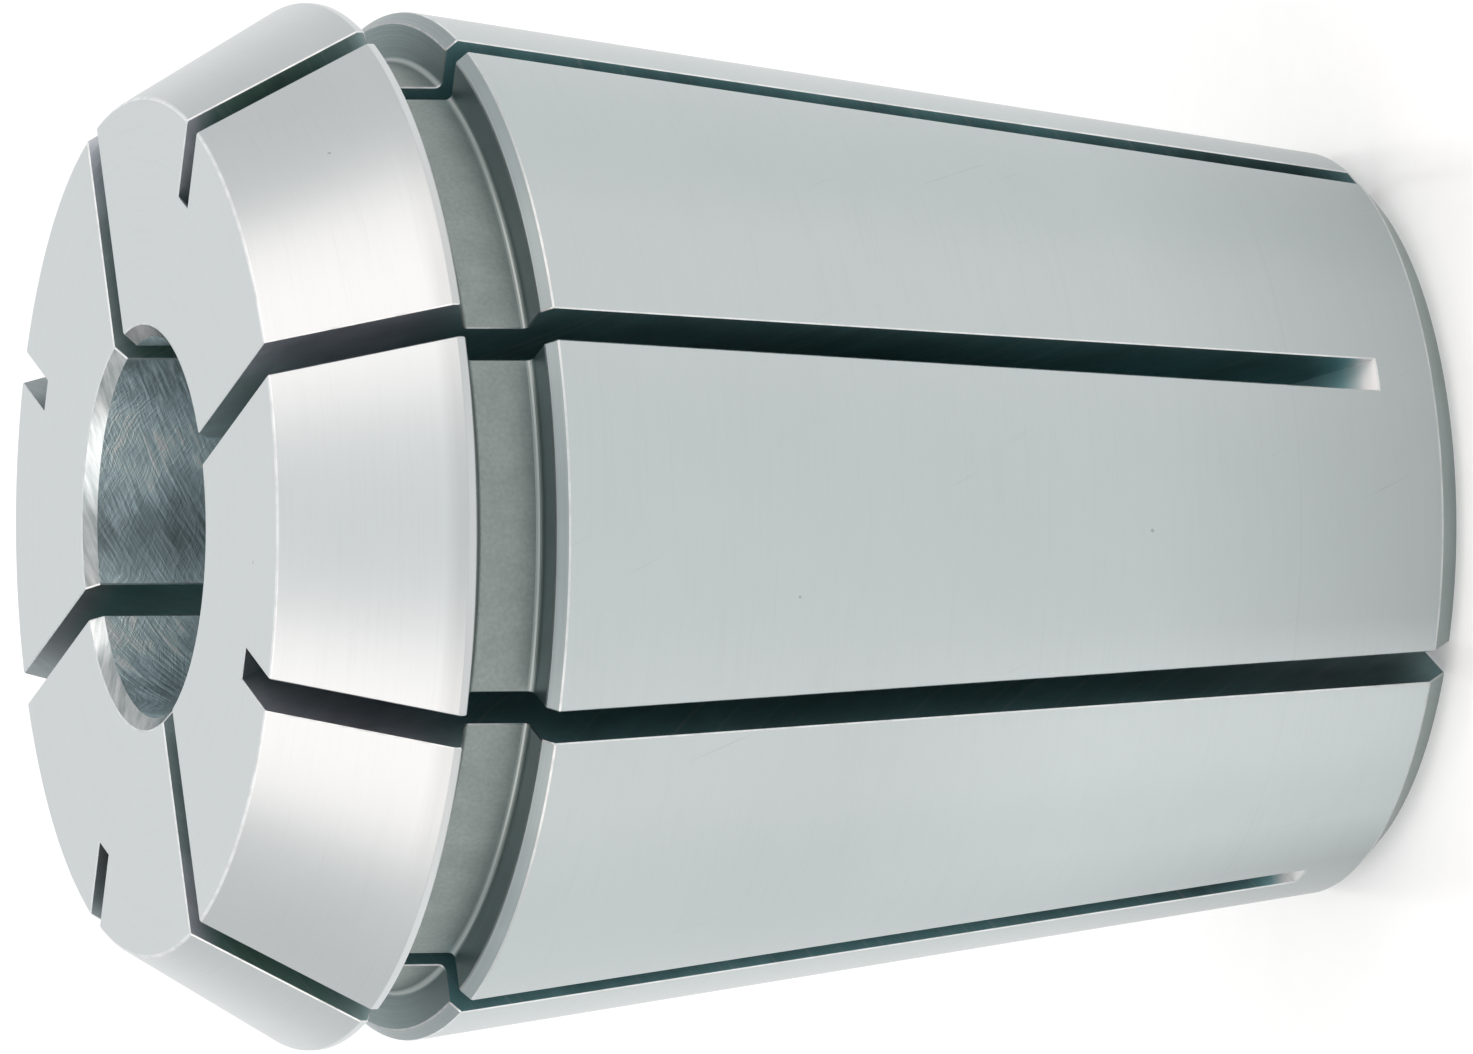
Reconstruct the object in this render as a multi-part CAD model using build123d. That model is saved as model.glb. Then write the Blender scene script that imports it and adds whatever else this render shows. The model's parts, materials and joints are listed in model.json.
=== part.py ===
from build123d import *

import os
from math import radians, sqrt, tan

# Tapping collet: a slotted steel sleeve that a nut pushes into a tapered holder, so that
# its eight segments close on a round shank while the shank's square end sits in a square
# socket and can't turn. It is one piece of spring steel.
# Millimetres. It stands on its small rear end at z = 0, its axis is Z, its head is up.

# Body
overall_length = 40.0
holder_half_angle = 8.0        # long taper that the holder closes on
shoulder_diameter = 32.5       # wide end of that taper
shoulder_chamfer = 0.35
rear_chamfer = 0.8

# Head, measured back from the face
head_diameter = 33.0
nut_half_angle = 30.0          # short cone that the nut presses on
nose_length = 5.2              # face to the widest edge
head_land = 0.25               # straight rim between the nut cone and the underside
underside_angle = 20.0         # slope of the underside, from square to the axis
head_edge_radius = 0.1
face_edge_radius = 0.12

# Groove behind the head, where the nut's ring pulls the collet out again
shoulder_setback = 8.2         # face to the groove's rear wall
groove_depth = 1.6
groove_root_radius = 0.2

# Inside, from the face to the rear end
bore_diameter = 12.0           # shank size
bore_chamfer = 0.4
recess_diameter = 13.4         # ring recess that lets the broach's chips break off
recess_width = 1.5
shank_square = 9.0             # square end of the shank, across its flats
square_clearance = 0.05        # on each flat
square_corner_radius = 0.3
socket_length = 12.0
relief_diameter = 14.0         # round way in from the rear
relief_depth = 4.0
relief_chamfer = 0.4

# Saw slots: as many from the front as from the rear, halfway between each other
slots_each_end = 4
slot_width = 1.05
saw_diameter = 50.0
saw_reach = 4.0                # nearest that the saw's rim comes to the axis
saw_overrun = 1.0              # travel of the saw's centre past the end it enters at
front_slot_stop = 2.75         # rear end to where a front slot runs out on the taper
face_notch_radius = 11.0       # how far in a rear slot notches the face

# Radii and heights that follow from those sizes
head_radius = head_diameter / 2
head_edge_height = overall_length - nose_length
face_radius = head_radius - nose_length * tan(radians(nut_half_angle))
underside_height = head_edge_height - head_land
shoulder_radius = shoulder_diameter / 2
shoulder_height = overall_length - shoulder_setback
taper_height = shoulder_height - shoulder_chamfer
groove_radius = shoulder_radius - groove_depth
underside_drop = (head_radius - groove_radius) * tan(radians(underside_angle))
bore_radius = bore_diameter / 2
recess_radius = recess_diameter / 2
socket_width = shank_square + 2 * square_clearance
socket_height = relief_depth + socket_length
recess_height = socket_height + recess_width
relief_radius = relief_diameter / 2
saw_radius = saw_diameter / 2
saw_centre = saw_reach + saw_radius


def taper_radius(height):
    """Radius of the long taper at a height above the rear end."""
    return shoulder_radius - (taper_height - height) * tan(radians(holder_half_angle))


def saw_half_span(radius):
    """Half the length that the saw cuts along the axis, at a radius from the axis."""
    return sqrt(saw_radius**2 - (saw_centre - radius)**2)


def turned_blank():
    """The outside as one turned section: rear chamfer, taper, groove, head and nut cone."""
    shoulder_foot = (groove_radius, shoulder_height)
    underside_foot = (groove_radius, underside_height - underside_drop)
    underside_rim = (head_radius, underside_height)
    cone_rim = (head_radius, head_edge_height)
    face_rim = (face_radius, overall_length)
    rounded_corners = [
        (shoulder_foot, groove_root_radius),
        (underside_foot, groove_root_radius),
        (underside_rim, head_edge_radius),
        (cone_rim, head_edge_radius),
        (face_rim, face_edge_radius),
    ]
    with BuildPart() as blank:
        with BuildSketch(Plane.XZ) as section:
            with BuildLine():
                Polyline(
                    (0, 0),
                    (taper_radius(rear_chamfer) - rear_chamfer, 0),
                    (taper_radius(rear_chamfer), rear_chamfer),
                    (shoulder_radius, taper_height),
                    (shoulder_radius - shoulder_chamfer, shoulder_height),
                    shoulder_foot,
                    underside_foot,
                    underside_rim,
                    cone_rim,
                    face_rim,
                    (0, overall_length),
                    close=True,
                )
            make_face()
            for corner, radius in rounded_corners:
                fillet(section.vertices().sort_by_distance((*corner, 0))[0], radius)
        revolve(axis=Axis.Z)
    return blank.part


def round_hollow():
    """What the boring bar takes out: rear relief, chip recess and the bore, with their chamfers."""
    with BuildPart() as hollow:
        with BuildSketch(Plane.XZ):
            with BuildLine():
                Polyline(
                    (0, 0),
                    (relief_radius + relief_chamfer, 0),
                    (relief_radius, relief_chamfer),
                    (relief_radius, relief_depth),
                    (0, relief_depth),
                    close=True,
                )
            make_face()
            with BuildLine():
                Polyline(
                    (0, socket_height),
                    (recess_radius, socket_height),
                    (recess_radius, recess_height),
                    (bore_radius, recess_height),
                    (bore_radius, overall_length - bore_chamfer),
                    (bore_radius + bore_chamfer, overall_length),
                    (0, overall_length),
                    close=True,
                )
            make_face()
        revolve(axis=Axis.Z)
    return hollow.part


def square_socket():
    """The broached square between the relief and the recess, flats square to X and Y."""
    with BuildPart() as socket:
        with BuildSketch(Plane.XY.offset(relief_depth)):
            RectangleRounded(socket_width, socket_width, square_corner_radius)
        extrude(amount=socket_length)
    return socket.part


def saw_cut(first, last):
    """All that the round saw blade clears as its centre travels from first to last along Z."""
    with BuildPart() as cut:
        with BuildSketch(Plane.XZ):
            with Locations((saw_centre, (first + last) / 2)):
                SlotCenterToCenter(last - first, saw_diameter, rotation=90)
        extrude(amount=slot_width / 2, both=True)
    return cut.part


def collet():
    """The finished collet, with a ring of slots from each end."""
    pitch = 360 / slots_each_end
    front_cut = saw_cut(
        front_slot_stop + saw_half_span(taper_radius(front_slot_stop)),
        overall_length + saw_overrun,
    )
    rear_cut = saw_cut(
        -saw_overrun,
        overall_length - saw_half_span(face_notch_radius),
    )
    with BuildPart() as body:
        add(turned_blank())
        add(round_hollow(), mode=Mode.SUBTRACT)
        add(square_socket(), mode=Mode.SUBTRACT)
        for index in range(slots_each_end):
            add(front_cut.rotate(Axis.Z, index * pitch), mode=Mode.SUBTRACT)
            add(rear_cut.rotate(Axis.Z, (index + 0.5) * pitch), mode=Mode.SUBTRACT)
    return body.part


os.makedirs("parts", exist_ok=True)
piece = collet()
export_step(piece, "parts/collet.step")
print(f"collet: {piece.volume / 1000:.2f} cm3, {len(piece.solids())} solid")
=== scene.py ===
# %% [markdown]
# # A tapping collet, finished in Blender
#
# A collet is the sleeve that grips a tool. A nut pushes it into a tapered holder, its eight
# segments bend inwards by a few hundredths of a millimetre, and the bore closes on the shank.
# This one is for taps: behind the round bore it has a square socket for the square end of the
# tap's shank, so that the tap can't turn.
#
# The real thing is one piece of spring steel. It is turned, slotted with a thin round saw,
# hardened, and then ground where it has to fit. The lesson prepares the finish that each of
# these tools leaves. Then it sweeps a turned section round the axis, cuts it with a broach
# and a saw, and breaks its edges.
#
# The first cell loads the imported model. It fixes where the part stands and how large it is.

import json
import math
from functools import partialmethod

import bmesh
import bpy
from mathutils import Matrix, Vector

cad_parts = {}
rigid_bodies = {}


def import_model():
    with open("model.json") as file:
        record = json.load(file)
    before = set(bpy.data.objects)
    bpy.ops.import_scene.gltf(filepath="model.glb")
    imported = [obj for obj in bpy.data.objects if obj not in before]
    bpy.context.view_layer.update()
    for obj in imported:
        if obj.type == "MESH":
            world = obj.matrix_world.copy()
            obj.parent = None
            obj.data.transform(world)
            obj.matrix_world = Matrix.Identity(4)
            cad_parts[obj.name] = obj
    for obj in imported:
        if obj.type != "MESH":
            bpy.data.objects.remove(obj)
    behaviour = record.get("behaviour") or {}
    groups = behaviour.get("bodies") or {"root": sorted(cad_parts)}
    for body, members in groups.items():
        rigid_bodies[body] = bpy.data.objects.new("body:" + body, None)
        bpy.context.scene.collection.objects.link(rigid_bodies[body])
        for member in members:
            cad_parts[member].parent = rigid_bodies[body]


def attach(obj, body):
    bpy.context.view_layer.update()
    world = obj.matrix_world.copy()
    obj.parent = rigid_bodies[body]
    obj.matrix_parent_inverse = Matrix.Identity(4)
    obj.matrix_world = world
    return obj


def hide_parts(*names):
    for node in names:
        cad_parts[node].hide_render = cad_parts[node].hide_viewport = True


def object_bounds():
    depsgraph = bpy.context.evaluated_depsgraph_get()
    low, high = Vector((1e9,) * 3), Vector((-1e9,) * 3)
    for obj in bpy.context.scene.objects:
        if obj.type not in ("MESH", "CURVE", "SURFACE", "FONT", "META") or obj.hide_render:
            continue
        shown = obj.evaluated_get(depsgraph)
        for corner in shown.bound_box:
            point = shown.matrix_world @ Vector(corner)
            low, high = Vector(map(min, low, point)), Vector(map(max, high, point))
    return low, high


def rounded(values, places=4):
    return [round(value, places) for value in values]


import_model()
cad_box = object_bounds()
print("CAD box in metres:", [rounded(corner) for corner in cad_box])

# %% [markdown]
# ## Sizes
#
# Every size of the collet is a named number, in millimetres or degrees, as on a workshop
# drawing. They go into the node tree as its inputs, so one of them can be changed alone and
# the whole body follows. The overall length comes from the frame.

# %% Sizes of the collet
MM = 0.001
SIZES = {
    "Overall Length": (cad_box[1][2] - cad_box[0][2]) / MM,
    "Holder Half Angle": 8.0,
    "Shoulder Diameter": 32.5,
    "Shoulder Chamfer": 0.35,
    "Rear Chamfer": 0.8,
    "Head Diameter": 33.0,
    "Nut Half Angle": 30.0,
    "Nose Length": 5.2,
    "Head Land": 0.25,
    "Underside Angle": 20.0,
    "Head Edge Radius": 0.1,
    "Face Edge Radius": 0.12,
    "Shoulder Setback": 8.2,
    "Groove Depth": 1.6,
    "Groove Root Radius": 0.2,
    "Bore Diameter": 12.0,
    "Bore Chamfer": 0.4,
    "Recess Diameter": 13.4,
    "Recess Width": 1.5,
    "Socket Width": 9.1,
    "Socket Corner Radius": 0.3,
    "Socket Length": 12.0,
    "Relief Diameter": 14.0,
    "Relief Depth": 4.0,
    "Relief Chamfer": 0.4,
    "Slot Width": 1.05,
    "Saw Diameter": 50.0,
    "Saw Reach": 4.0,
    "Saw Overrun": 1.0,
    "Front Slot Stop": 2.75,
    "Face Notch Radius": 11.0,
}
COUNTS = {"Slots Each End": 4, "Columns": 232, "Blade Corners": 256}
print(len(SIZES), "sizes and", len(COUNTS), "counts")

# %% [markdown]
# ## Writing a node tree in a few words
#
# Geometry and shaders are both built as node trees. `put` adds one node and fills its
# sockets, and `made` gives what it makes. `Number` wraps a socket that carries a number, so
# that `a + b` adds the Math node for it: the formulas then look as they do on paper.

# %% Helpers for node trees
def put(tree, kind, inputs=None, **settings):
    """Add one node. settings fill its menus, inputs its sockets, with a value or a link."""
    node = tree.nodes.new(kind)
    for name, value in settings.items():
        setattr(node, name, value)
    for key, value in (inputs or {}).items():
        fill(tree, node.inputs[key], value)
    return node


def emptied_tree(owner):
    """The node tree of a material or a world, cleared."""
    owner.use_nodes = True
    owner.node_tree.nodes.clear()
    return owner.node_tree


def made(tree, kind, inputs=None, **settings):
    """Add one node and give its first output."""
    return put(tree, kind, inputs, **settings).outputs[0]


def fill(tree, socket, value):
    """Link a socket or a Number into this socket, or write a plain value on it."""
    value = getattr(value, "socket", value)
    if isinstance(value, bpy.types.NodeSocket):
        tree.links.new(value, socket)
    else:
        socket.default_value = value


class Number:
    """A number that flows through a node tree."""

    def __init__(self, tree, socket):
        self.tree = tree
        self.socket = socket

    def maths(self, operation, *others):
        inputs = dict(enumerate((self, *others)))
        return Number(self.tree, made(self.tree, "ShaderNodeMath", inputs, operation=operation))

    __add__ = partialmethod(maths, "ADD")
    __sub__ = partialmethod(maths, "SUBTRACT")
    __mul__ = partialmethod(maths, "MULTIPLY")
    __truediv__ = partialmethod(maths, "DIVIDE")
    __neg__ = partialmethod(maths, "MULTIPLY", -1.0)
    above = partialmethod(maths, "GREATER_THAN")
    absolute = partialmethod(maths, "ABSOLUTE")
    root = partialmethod(maths, "SQRT")

    def ramp(self, low, high):
        """0 at low and 1 at high, even in between, whichever of the two comes first."""
        share = (self - low) / (high - low)
        share.socket.node.use_clamp = True
        return share

    def tan_of_degrees(self):
        return self.maths("RADIANS").maths("TANGENT")


def xyz(tree, x=0.0, y=0.0, z=0.0):
    """A vector from three numbers."""
    return made(tree, "ShaderNodeCombineXYZ", {0: x, 1: y, 2: z})


def separated(tree, vector):
    """The three numbers of a vector."""
    node = put(tree, "ShaderNodeSeparateXYZ", {0: vector})
    return [Number(tree, socket) for socket in node.outputs]


# %% [markdown]
# ## Shared effects
#
# An effect that several surfaces show is a node group, made once and placed in each material
# with its own values. Steel shows what cut it: grinding leaves fine lines round the axis, a
# hone leaves crossed scratches, a saw leaves arcs. All of these are long thin streaks, so one
# group makes streaks, and each material says which way they run and how coarse they are.
#
# The coordinates are the object's own, in millimetres, so no pattern slides when the part is
# moved: the height, the distance from the axis and the length round the axis.

# %% Making a shader group
def shader_group(name, inputs, outputs):
    """An empty group with named inputs and outputs. Gives its tree, its inputs and its exit."""
    tree = bpy.data.node_groups.new(name, "ShaderNodeTree")
    for label, value in inputs.items():
        kind = "NodeSocketColor" if isinstance(value, tuple) else "NodeSocketFloat"
        socket = tree.interface.new_socket(label, in_out="INPUT", socket_type=kind)
        socket.default_value = value
    for label, kind in outputs.items():
        tree.interface.new_socket(label, in_out="OUTPUT", socket_type="NodeSocket" + kind)
    entry = tree.nodes.new("NodeGroupInput")
    values = {label: Number(tree, entry.outputs[label]) for label in inputs}
    return tree, values, tree.nodes.new("NodeGroupOutput")


def noise(tree, place, detail, roughness=0.5, scale=1.0):
    """A cloud value, mostly between 0.3 and 0.7, at a place."""
    inputs = {"Vector": place, "Scale": scale, "Detail": detail, "Roughness": roughness}
    return Number(tree, made(tree, "ShaderNodeTexNoise", inputs))


# %% Group: where a point lies on the turned body
PLACE_LABELS = ("Height", "Radius", "Around", "Turn", "X", "Y")


def turned_place_group():
    """The turned coordinates of a point. Turn is in radians, the others in millimetres."""
    tree, _, out = shader_group("turned place", {}, dict.fromkeys(PLACE_LABELS, "Float"))
    metres = put(tree, "ShaderNodeTexCoord").outputs["Object"]
    x, y, height = (part * (1 / MM) for part in separated(tree, metres))
    radius = (x * x + y * y).root()
    turn = y.maths("ARCTAN2", x)
    for label, value in zip(PLACE_LABELS, (height, radius, turn * radius, turn, x, y)):
        fill(tree, out.inputs[label], value)
    return tree


TURNED_PLACE = turned_place_group()


# %% Group: streaks left by a tool
def streaks_group():
    """Streaks that change fast across and slowly along. Wave is -1 to 1, Marks 0 to 1."""
    inputs = {"Across": 0.0, "Along": 0.0, "Angle": 0.0, "Drift": 0.0, "Spacing": 0.05,
              "Length": 4.0, "Cover": 0.5, "Sharpness": 6.0}
    tree, value, out = shader_group("streaks", inputs, {"Wave": "Float", "Marks": "Float"})
    angle = value["Angle"].maths("RADIANS")
    cosine, sine = angle.maths("COSINE"), angle.maths("SINE")
    across = value["Across"] * cosine + value["Along"] * sine
    along = value["Along"] * cosine - value["Across"] * sine
    place = xyz(tree, across / value["Spacing"], along / value["Length"], value["Drift"])
    wave = noise(tree, place, detail=3.0, roughness=0.6)
    fill(tree, out.inputs["Wave"], (wave - 0.5) * 2.0)
    marks = (wave + value["Cover"] - 1.0) * value["Sharpness"] + 0.5
    marks.socket.node.use_clamp = True
    fill(tree, out.inputs["Marks"], marks)
    return tree


STREAKS = streaks_group()


# %% Group: specks, such as pits and grit
def specks_group():
    """Small round spots at random places, one to a cell at most. Mask is 0 to 1."""
    inputs = {"Across": 0.0, "Along": 0.0, "Spacing": 1.0, "Size": 0.1, "Share": 0.5}
    tree, value, out = shader_group("specks", inputs, {"Mask": "Float"})
    place = xyz(tree, value["Across"] / value["Spacing"], value["Along"] / value["Spacing"])
    cells = put(tree, "ShaderNodeTexVoronoi", {"Vector": place, "Scale": 1.0},
                voronoi_dimensions="3D", feature="F1")
    distance = Number(tree, cells.outputs["Distance"]) * value["Spacing"]
    colour = cells.outputs["Color"]
    chance = Number(tree, made(tree, "ShaderNodeSeparateColor", {0: colour}))
    spot = (value["Size"] - distance) / value["Size"] * 3.0
    spot.socket.node.use_clamp = True
    fill(tree, out.inputs["Mask"], spot * chance.maths("LESS_THAN", value["Share"]))
    return tree


SPECKS = specks_group()


# %% Group: the tone of a steel surface
def opaque(colour):
    """Give a plain colour its alpha of 1. A colour from a link stays as it is."""
    return (*colour, 1.0) if isinstance(colour, tuple) else colour


def blended(tree, first, second, share):
    """The first colour where share is 0, the second where it is 1."""
    inputs = {0: share, 6: opaque(first), 7: opaque(second)}
    return put(tree, "ShaderNodeMix", inputs, data_type="RGBA").outputs[2]


def times(tree, colour, level):
    return made(tree, "ShaderNodeVectorMath", {0: colour, 1: level}, operation="MULTIPLY")


def tone_group():
    """The steel's colour, clouded by a thin oil layer and darkened or lightened by marks and by
    Shade, which carries painted light and shade.
    """
    inputs = {"Steel": (0.6, 0.6, 0.6, 1.0), "Marked": (0.3, 0.3, 0.3, 1.0), "Marks": 0.0,
              "Across": 0.0, "Along": 0.0, "Drift": 0.0, "Cloud Size": 4.0, "Clouding": 0.05,
              "Shade": 0.0}
    outputs = {"Colour": "Color", "Cloud": "Float"}
    tree, value, out = shader_group("steel tone", inputs, outputs)
    cloud_size = value["Cloud Size"]
    place = xyz(tree, value["Across"] / cloud_size, value["Along"] / cloud_size, value["Drift"])
    cloud = (noise(tree, place, detail=4.0) - 0.5) * 4.0
    marked = blended(tree, value["Steel"], value["Marked"], value["Marks"])
    level = cloud * value["Clouding"] + 1.0 - value["Shade"]
    fill(tree, out.inputs["Colour"], times(tree, marked, level))
    fill(tree, out.inputs["Cloud"], cloud)
    return tree


TONE = tone_group()
print("shader groups:", [group.name for group in (TURNED_PLACE, STREAKS, SPECKS, TONE)])

# %% [markdown]
# ## The finishes
#
# The collet is one steel, but it has a finish for each tool that touched it. A finish is a
# metallic shader with a tone, a roughness and a fine bump. `Finish` adds the shader and the
# turned coordinates, and its small methods place the shared groups. What differs is then a
# handful of numbers: which way the streaks run, how far apart and how dark they are.

# %% A steel finish
class Finish:
    """A metallic material, and the turned coordinates that its patterns use."""

    def __init__(self, name, across="height", along="around", anisotropy=0.0):
        self.material = bpy.data.materials.new(name)
        self.tree = emptied_tree(self.material)
        self.shader = put(self.tree, "ShaderNodeBsdfPrincipled",
                          {"Metallic": 1.0, "Anisotropic": anisotropy,
                           "Anisotropic Rotation": 0.25})
        put(self.tree, "ShaderNodeOutputMaterial", {"Surface": self.shader.outputs[0]})
        place = put(self.tree, "ShaderNodeGroup", node_tree=TURNED_PLACE)
        self.height, self.radius, self.around, self.turn, self.x, self.y = (
            Number(self.tree, place.outputs[label]) for label in PLACE_LABELS)
        self.across, self.along = getattr(self, across), getattr(self, along)

    def group(self, node_tree, **inputs):
        """A shared group, laid across and along this finish unless inputs say otherwise."""
        inputs = {"across": self.across, "along": self.along, **inputs}
        inputs = {label.replace("_", " ").title(): value for label, value in inputs.items()}
        return put(self.tree, "ShaderNodeGroup", inputs, node_tree=node_tree)

    def streaks(self, output="Marks", **inputs):
        return Number(self.tree, self.group(STREAKS, **inputs).outputs[output])

    def specks(self, **inputs):
        return Number(self.tree, self.group(SPECKS, **inputs).outputs[0])

    def tone(self, steel, marked, marks, **inputs):
        """Colour the surface. Gives the cloud value, for use in the roughness."""
        node = self.group(TONE, steel=opaque(steel), marked=opaque(marked), marks=marks, **inputs)
        fill(self.tree, self.shader.inputs["Base Color"], node.outputs["Colour"])
        return Number(self.tree, node.outputs["Cloud"])

    def facing(self, turn, edge, core):
        """1 within core of a direction round the axis, 0 beyond edge. All are in radians."""
        return (self.turn - turn).absolute().ramp(edge, core)

    def done(self, roughness, height=None, depth=0.0):
        """Set the roughness and a relief up to depth deep, in millimetres."""
        fill(self.tree, self.shader.inputs["Roughness"], roughness)
        if height is not None:
            bump = made(self.tree, "ShaderNodeBump", {"Height": height, "Distance": depth * MM})
            fill(self.tree, self.shader.inputs["Normal"], bump)
        return self.material


def darker(colour, share):
    return tuple(part * share for part in colour)


# %% [markdown]
# ### Ground surfaces
#
# The long taper, the nut's cone and the front face are ground after hardening. The wheel
# leaves fine lines round the axis, only a few hundredths of a millimetre apart. They are too
# fine to see one by one, and they spread a reflection along the axis, which the anisotropy
# of the shader stands for. A used or handled collet also has a few hairline scratches and
# pin-sized pits. Painted shade darkens the taper towards the rear and the cone just above its
# rim on one side. Painted light brightens one side of the taper.

# %% Ground steel
GROUND_STEEL = (0.610, 0.645, 0.650)
TAPER_STEEL = (0.471, 0.520, 0.524)
REAR_SHADE_TOP = 11.0
HOLDER_LINE = 5.9
LIT_SIDE_TURN = -1.06
RIM_SHADE_TURN = -0.35


def rear_shade_and_holder_line(finish):
    """Painted shade towards the rear, painted light on one side, and a faint line from the
    holder.
    """
    line = (finish.height - HOLDER_LINE).absolute().ramp(0.06, 0.0)
    lit_side = finish.facing(LIT_SIDE_TURN, 0.42, 0.20)
    # Darker towards the rear is painted shade. Lighter on one side is painted light.
    rear_shade = finish.height.ramp(REAR_SHADE_TOP, 0.0) * (-lit_side + 1.0)
    return rear_shade * 0.21 - lit_side * finish.height.ramp(21.0, 13.0) * 0.11 + line * 0.035


def rim_painted_shade(finish):
    """Painted shade in a band just above the cone's rim, on one side."""
    rim_height = SIZES["Overall Length"] - SIZES["Nose Length"]
    band = finish.height.ramp(rim_height + 0.65, rim_height + 0.25)
    return band * finish.facing(RIM_SHADE_TURN, 0.85, 0.45) * 0.14


def ground_finish(name, steel, roughness, across, anisotropy=0.4, shade=None):
    """Fine grinding lines round the axis. across names the coordinate that crosses them."""
    finish = Finish(name, across, anisotropy=anisotropy)
    lines = finish.streaks("Wave", spacing=0.045, length=7.0)
    bands = finish.streaks("Wave", drift=8.0, spacing=0.25, length=3.0)
    scratches = finish.streaks(angle=63.0, drift=3.7, spacing=0.16, length=7.0, cover=0.265,
                               sharpness=14.0)
    pits = finish.specks(spacing=2.6, size=0.07, share=0.4)
    marks = (scratches * 0.22).maths("MAXIMUM", pits * 0.55) + lines * 0.10 + bands * 0.06
    cloud = finish.tone(steel, darker(steel, 0.45), marks, cloud_size=5.0, clouding=0.018,
                        shade=shade(finish) if shade else 0.0)
    return finish.done(cloud * 0.02 + lines * 0.03 + roughness, lines, 0.0004)


GROUND_TAPER = ground_finish("ground taper", TAPER_STEEL, 0.34, "height", shade=rear_shade_and_holder_line)
GROUND_CONE = ground_finish("ground cone", GROUND_STEEL, 0.38, "height", shade=rim_painted_shade)
GROUND_FACE = ground_finish("ground face", GROUND_STEEL, 0.36, "radius", anisotropy=0.0)
print("ground:", [material.name for material in (GROUND_TAPER, GROUND_CONE, GROUND_FACE)])

# %% [markdown]
# ### Turned surfaces that stay unground
#
# The nut's lip runs in the groove behind the head, and nothing there has to fit closely.
# After hardening it is only blasted clean, so it is matt, darker and grainy. Its root, the
# shoulder, the rear end and the hollow parts inside keep the feed lines of the turning tool.

# %% Blasted groove and turned steel
def lined_finish(name, steel, across, spacing, depth, roughness, length=25.0, dark=0.6,
                 contrast=0.4, base=0.3, spread=0.06, cloud_size=2.5, clouding=0.06):
    """Steel with the lines or the grain of one tool, in its relief, tone and roughness."""
    finish = Finish(name, across)
    lines = finish.streaks("Wave", spacing=spacing, length=length)
    finish.tone(steel, darker(steel, dark), lines * contrast + base, cloud_size=cloud_size,
                clouding=clouding)
    return finish.done(lines * spread + roughness, lines, depth)


BLASTED_GROOVE = lined_finish(
    "blasted groove", (0.318, 0.366, 0.354), "height", spacing=0.15, depth=0.001, roughness=0.5,
    length=0.15, dark=0.7, contrast=0.5, base=0.4, spread=0.08, cloud_size=1.2, clouding=0.09)
GROOVE_ROOT, SHOULDER_WALL, SHOULDER_EDGE, REAR_CHAMFER, REAR_FACE, TURNED_INSIDE = (
    lined_finish(*look) for look in (
        ("groove root", (0.36, 0.41, 0.40), "height", 0.05, 0.0006, 0.36),
        ("shoulder wall", (0.25, 0.325, 0.33), "radius", 0.06, 0.0006, 0.42),
        ("shoulder edge", (0.37, 0.425, 0.43), "height", 0.05, 0.0006, 0.38),
        ("rear chamfer", (0.35, 0.41, 0.40), "height", 0.05, 0.0006, 0.38),
        ("rear face", (0.47, 0.51, 0.51), "radius", 0.12, 0.0020, 0.36),
        ("turned inside", (0.42, 0.45, 0.45), "height", 0.10, 0.0030, 0.35)))
print("unground:", BLASTED_GROOVE.name, "and six turned ones, down to", TURNED_INSIDE.name)

# %% [markdown]
# ### The honed bore
#
# The bore must hold the shank true to a few thousandths of a millimetre. It is honed: fine
# stones turn and travel up and down in it at once, so they leave two sets of scratches that
# cross. Light catches some of them and not others, and the bore looks streaky. Paler and
# darker bands round the bore, a darker side and a darker depth are painted light and shade.
# So are two bright spots on its chamfer.

# %% Honed bore and its chamfer
HONE_ANGLE = 62.0
SHADED_SIDE_TURN = 1.2
PAINTED_HIGHLIGHT_TURN = 2.37
SMALL_PAINTED_HIGHLIGHT_TURN = -2.96
LIGHT_BANDS_ROUND_BORE = 6.0
LIGHT_BAND_SHIFT = 13.62


def shaded_side(finish):
    """Painted shade on one side of the bore."""
    return finish.facing(SHADED_SIDE_TURN, 0.45, 0.30)


def honed_finish(name):
    """Two sets of scratches that cross, in patches, each at the hone angle from the axis."""
    finish = Finish(name, "around", "height")
    sway = finish.streaks("Wave", drift=2.0, spacing=3.5, length=3.5)
    swayed = {"across": finish.around + sway * 0.5, "along": finish.height - sway * 0.5}
    one = finish.streaks(**swayed, angle=HONE_ANGLE, spacing=0.11, length=1.6, cover=0.47,
                         sharpness=4.0)
    other = finish.streaks(**swayed, angle=-HONE_ANGLE, drift=5.0, spacing=0.10, length=1.3,
                           cover=0.45, sharpness=4.0)
    patches = finish.streaks(drift=9.0, spacing=2.4, length=2.4, cover=0.57, sharpness=5.0)
    bright = (one * patches).maths("MAXIMUM", other * (-patches + 1.0))
    # Painted light and shade: paler and darker bands round the bore, darker further in, and
    # darker on one side.
    light_bands = (finish.turn * LIGHT_BANDS_ROUND_BORE - LIGHT_BAND_SHIFT).maths("COSINE")
    deeper_shade = finish.height.ramp(38.5, 36.0)
    shade = deeper_shade * 0.20 - 0.13 - light_bands * 0.28 + shaded_side(finish) * 0.45
    finish.tone((0.52, 0.62, 0.645), (0.81, 0.95, 1.0), bright, drift=4.0, cloud_size=2.2,
                clouding=0.30, shade=shade)
    return finish.done(bright * 0.10 + 0.42, one * 2.0 + other * 2.0, 0.0022)


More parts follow.
